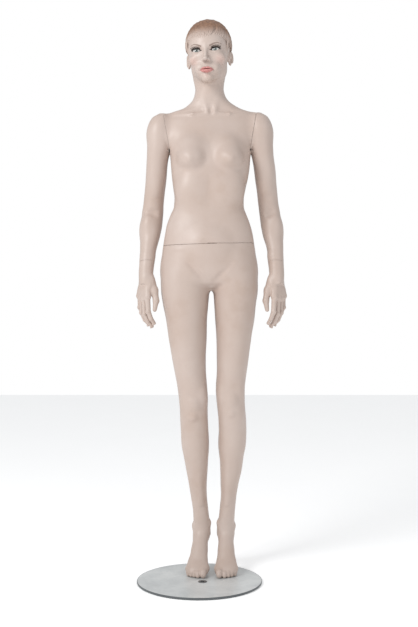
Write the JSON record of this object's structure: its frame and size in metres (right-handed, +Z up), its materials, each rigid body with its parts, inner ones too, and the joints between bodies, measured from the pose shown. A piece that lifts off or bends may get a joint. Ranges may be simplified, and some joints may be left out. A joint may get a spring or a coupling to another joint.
{
  "type": "full body mannequin",
  "caption": "Full body female display mannequin standing on a round steel base, with a figure that comes apart at the waist, shoulders and wrists.",
  "frame": {"origin": "centre of the base's underside, on the floor", "axes": "+Z up, the figure faces -Y, its left side is towards +X"},
  "size_m": [0.5026, 0.4285, 1.8337],
  "materials": {
    "body_laminate": "satin sprayed skin tone",
    "base_steel": "satin",
    "fixing_steel": "zinc plated",
    "key_steel": "plated",
    "board_wood": "bare plywood",
    "pad_rubber": "matt",
    "lash_fibre": "fibre"
  },
  "bodies": {
    "base": {"base_pad": "pad_rubber", "base_plate": "base_steel", "spare_rod_insert": "fixing_steel", "rod_flange": "fixing_steel", "flange_screws": "fixing_steel", "rod_set_screw": "fixing_steel", "support_rod": "fixing_steel"},
    "lower_body": {"hips_legs_shell": "body_laminate", "foot_socket_tube": "fixing_steel", "waist_socket_board": "board_wood", "waist_socket_plate": "key_steel", "waist_socket_screws": "fixing_steel"},
    "upper_body": {"torso_head_shell": "body_laminate", "waist_key_board": "board_wood", "waist_key_plate": "key_steel", "waist_key_screws": "fixing_steel", "right_shoulder_socket_board": "board_wood", "right_shoulder_socket_plate": "key_steel", "right_shoulder_socket_screws": "fixing_steel", "left_shoulder_socket_board": "board_wood", "left_shoulder_socket_plate": "key_steel", "left_shoulder_socket_screws": "fixing_steel", "right_eyelashes": "lash_fibre", "left_eyelashes": "lash_fibre"},
    "right_arm": {"right_arm_shell": "body_laminate", "right_shoulder_key_board": "board_wood", "right_shoulder_key_plate": "key_steel", "right_shoulder_key_screws": "fixing_steel", "right_wrist_socket_board": "board_wood", "right_wrist_socket_plate": "key_steel", "right_wrist_socket_screws": "fixing_steel"},
    "right_hand": {"right_hand_casting": "body_laminate", "right_wrist_key_board": "board_wood", "right_wrist_key_plate": "key_steel", "right_wrist_key_screws": "fixing_steel"},
    "left_arm": {"left_arm_shell": "body_laminate", "left_shoulder_key_board": "board_wood", "left_shoulder_key_plate": "key_steel", "left_shoulder_key_screws": "fixing_steel", "left_wrist_socket_board": "board_wood", "left_wrist_socket_plate": "key_steel", "left_wrist_socket_screws": "fixing_steel"},
    "left_hand": {"left_hand_casting": "body_laminate", "left_wrist_key_board": "board_wood", "left_wrist_key_plate": "key_steel", "left_wrist_key_screws": "fixing_steel"}
  },
  "joints": [
    {"name": "figure_lift", "type": "slide", "parent": "base", "child": "lower_body", "axis": [0, 0, 1], "range_m": [0, 0.2]},
    {"name": "waist_twist", "type": "hinge", "parent": "lower_body", "child": "upper_body", "pos_m": [0.03, 0.11, 1.09], "axis": [-0.0296, -0.0349, 0.999], "range_deg": [0, 90]},
    {"name": "right_shoulder_twist", "type": "hinge", "parent": "upper_body", "child": "right_arm", "pos_m": [-0.109, 0.13, 1.454], "axis": [-0.9848, 0, -0.1736], "range_deg": [0, 90]},
    {"name": "left_shoulder_twist", "type": "hinge", "parent": "upper_body", "child": "left_arm", "pos_m": [0.176, 0.13, 1.46], "axis": [-0.9848, 0, 0.1736], "range_deg": [0, 90]},
    {"name": "right_wrist_twist", "type": "hinge", "parent": "right_arm", "child": "right_hand", "pos_m": [-0.175, 0.113, 1.03], "axis": [0, -0.309, -0.9511], "range_deg": [0, 70]},
    {"name": "left_wrist_twist", "type": "hinge", "parent": "left_arm", "child": "left_hand", "pos_m": [0.251, 0.113, 1.03], "axis": [0, 0.309, 0.9511], "range_deg": [0, 70]}
  ]
}
